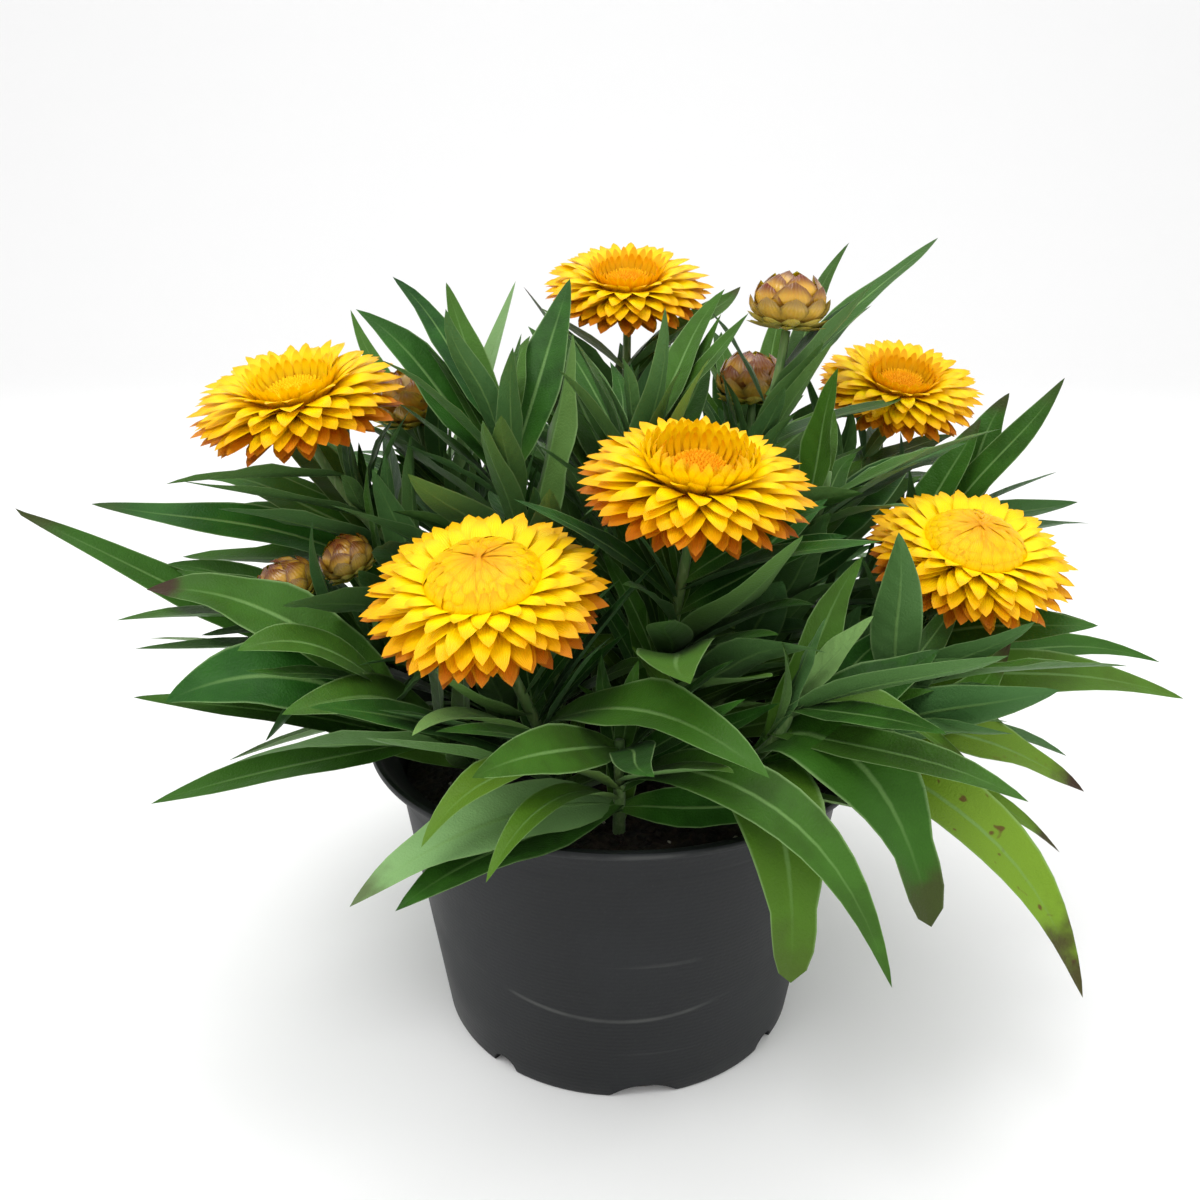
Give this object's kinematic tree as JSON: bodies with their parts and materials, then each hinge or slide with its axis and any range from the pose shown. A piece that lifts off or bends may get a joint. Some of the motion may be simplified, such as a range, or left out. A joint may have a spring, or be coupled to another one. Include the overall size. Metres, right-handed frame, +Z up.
{
  "type": "potted strawflower",
  "caption": "Bushy bedding plant with yellow and orange strawflower heads, buds and lance-shaped leaves, in soil in a round tapered nursery pot.",
  "frame": {"origin": "middle of the pot's flat underside, on the pot's own axis", "axes": "+Z up along the pot's axis; -Y is the front of the plant, the side that the picture shows"},
  "size_m": [0.3812, 0.2912, 0.2628],
  "materials": {
    "pot_plastic": "moulded polypropylene, semi-matte charcoal",
    "peat": "damp dark peat",
    "foliage": "soft green leaf, dull",
    "bracts_yellow": "dry papery bracts, satin",
    "bracts_orange": "dry papery bracts, satin",
    "disc_florets": "packed florets, matt",
    "bud_brown": "papery bud bracts, satin",
    "bud_red": "papery bud bracts, satin"
  },
  "bodies": {
    "root": {"pot": "pot_plastic", "soil": "peat", "flower_a_lower_bracts": "bracts_orange", "flower_a_upper_bracts": "bracts_yellow", "flower_a_disc": "disc_florets", "flower_b_lower_bracts": "bracts_orange", "flower_b_upper_bracts": "bracts_yellow", "flower_b_disc": "disc_florets", "flower_c_lower_bracts": "bracts_orange", "flower_c_upper_bracts": "bracts_yellow", "flower_c_disc": "disc_florets", "flower_d_lower_bracts": "bracts_orange", "flower_d_upper_bracts": "bracts_yellow", "flower_d_disc": "disc_florets", "flower_e_lower_bracts": "bracts_orange", "flower_e_upper_bracts": "bracts_yellow", "flower_e_disc": "disc_florets", "flower_f_lower_bracts": "bracts_orange", "flower_f_upper_bracts": "bracts_yellow", "flower_f_disc": "disc_florets", "bud_g": "bud_brown", "bud_h": "bud_brown", "bud_i": "bud_brown", "bud_j": "bud_brown", "bud_k": "bud_red", "bud_m": "bud_brown", "leafy_stem_a": "foliage", "leafy_stem_b": "foliage", "leafy_stem_c": "foliage", "leafy_stem_d": "foliage", "leafy_stem_e": "foliage", "leafy_stem_f": "foliage", "leafy_stem_g": "foliage", "leafy_stem_h": "foliage", "leafy_stem_i": "foliage", "leafy_stem_j": "foliage", "leafy_stem_k": "foliage", "leafy_stem_m": "foliage", "leafy_stem_n": "foliage", "leafy_stem_o": "foliage", "leafy_stem_p": "foliage", "leafy_stem_q": "foliage", "leafy_stem_r": "foliage", "leafy_stem_s": "foliage", "leafy_stem_t": "foliage", "leafy_stem_u": "foliage", "leafy_stem_v": "foliage", "leafy_stem_w": "foliage", "leafy_stem_x": "foliage", "leafy_stem_y": "foliage"}
  },
  "joints": []
}
